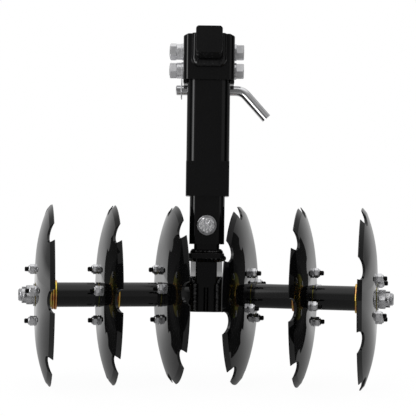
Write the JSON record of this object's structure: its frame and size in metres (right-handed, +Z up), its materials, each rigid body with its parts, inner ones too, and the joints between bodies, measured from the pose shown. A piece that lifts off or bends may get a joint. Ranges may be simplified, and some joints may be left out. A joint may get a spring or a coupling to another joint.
{
  "type": "disc harrow",
  "caption": "Small V-shaped disc harrow: notched dished blades on two angled axles under one upright shank with a square drawbar stub.",
  "frame": {"origin": "on the floor, under the middle of the bounding box", "axes": "+Z up, +X to the right along the gangs as seen from the drawbar end's front, -Y towards the drawbar end and the direction of travel"},
  "size_m": [0.7378, 0.3973, 0.6968],
  "materials": {
    "black_paint": "gloss",
    "black_plastic": "satin",
    "zinc": "zinc plated",
    "yellow_zinc": "yellow zinc plated",
    "bronze": "satin"
  },
  "bodies": {
    "frame": {"axle_carrier": "black_paint", "cap_plate": "black_paint", "neck_tube": "black_paint", "inner_shank": "black_paint", "outer_shank": "black_paint", "shank_collar": "black_paint", "shank_bolt": "zinc", "shank_washers": "zinc", "shank_nut": "zinc", "hitch_bracket": "black_paint", "bracket_bolts": "zinc", "bracket_washers": "zinc", "bracket_spring_washers": "zinc", "bracket_nuts": "zinc", "drawbar_stub": "black_paint", "stub_weld": "black_paint", "stub_end_cap": "black_plastic", "hitch_pin": "zinc", "pin_clip": "zinc", "axle_left": "zinc", "spacer_left_1": "black_paint", "spacer_left_2": "black_paint", "end_washer_left": "zinc", "castle_nut_left": "zinc", "cotter_pin_left": "zinc", "axle_right": "zinc", "spacer_right_1": "black_paint", "spacer_right_2": "black_paint", "end_washer_right": "zinc", "castle_nut_right": "zinc", "cotter_pin_right": "zinc"},
    "disc_1": {"disc_1_blade": "black_paint", "disc_1_hub": "yellow_zinc", "disc_1_bush": "bronze", "disc_1_bolts": "zinc"},
    "disc_2": {"disc_2_blade": "black_paint", "disc_2_hub": "yellow_zinc", "disc_2_bush": "bronze", "disc_2_bolts": "zinc"},
    "disc_3": {"disc_3_blade": "black_paint", "disc_3_hub": "yellow_zinc", "disc_3_bush": "bronze", "disc_3_bolts": "zinc"},
    "disc_4": {"disc_4_blade": "black_paint", "disc_4_hub": "yellow_zinc", "disc_4_bush": "bronze", "disc_4_bolts": "zinc"},
    "disc_5": {"disc_5_blade": "black_paint", "disc_5_hub": "yellow_zinc", "disc_5_bush": "bronze", "disc_5_bolts": "zinc"},
    "disc_6": {"disc_6_blade": "black_paint", "disc_6_hub": "yellow_zinc", "disc_6_bush": "bronze", "disc_6_bolts": "zinc"}
  },
  "joints": [
    {"name": "disc_1_spin", "type": "hinge", "parent": "frame", "child": "disc_1", "pos_m": [-0.31619, -0.02657, 0.1778], "axis": [-0.9804, -0.1968, 0], "continuous": true},
    {"name": "disc_2_spin", "type": "hinge", "parent": "frame", "child": "disc_2", "pos_m": [-0.1956, -0.00236, 0.1778], "axis": [-0.9804, -0.1968, 0], "continuous": true},
    {"name": "disc_3_spin", "type": "hinge", "parent": "frame", "child": "disc_3", "pos_m": [-0.075, 0.02184, 0.1778], "axis": [-0.9804, -0.1968, 0], "continuous": true},
    {"name": "disc_4_spin", "type": "hinge", "parent": "frame", "child": "disc_4", "pos_m": [0.075, 0.02184, 0.1778], "axis": [0.9804, -0.1968, 0], "continuous": true},
    {"name": "disc_5_spin", "type": "hinge", "parent": "frame", "child": "disc_5", "pos_m": [0.1956, -0.00236, 0.1778], "axis": [0.9804, -0.1968, 0], "continuous": true},
    {"name": "disc_6_spin", "type": "hinge", "parent": "frame", "child": "disc_6", "pos_m": [0.31619, -0.02657, 0.1778], "axis": [0.9804, -0.1968, 0], "continuous": true}
  ]
}
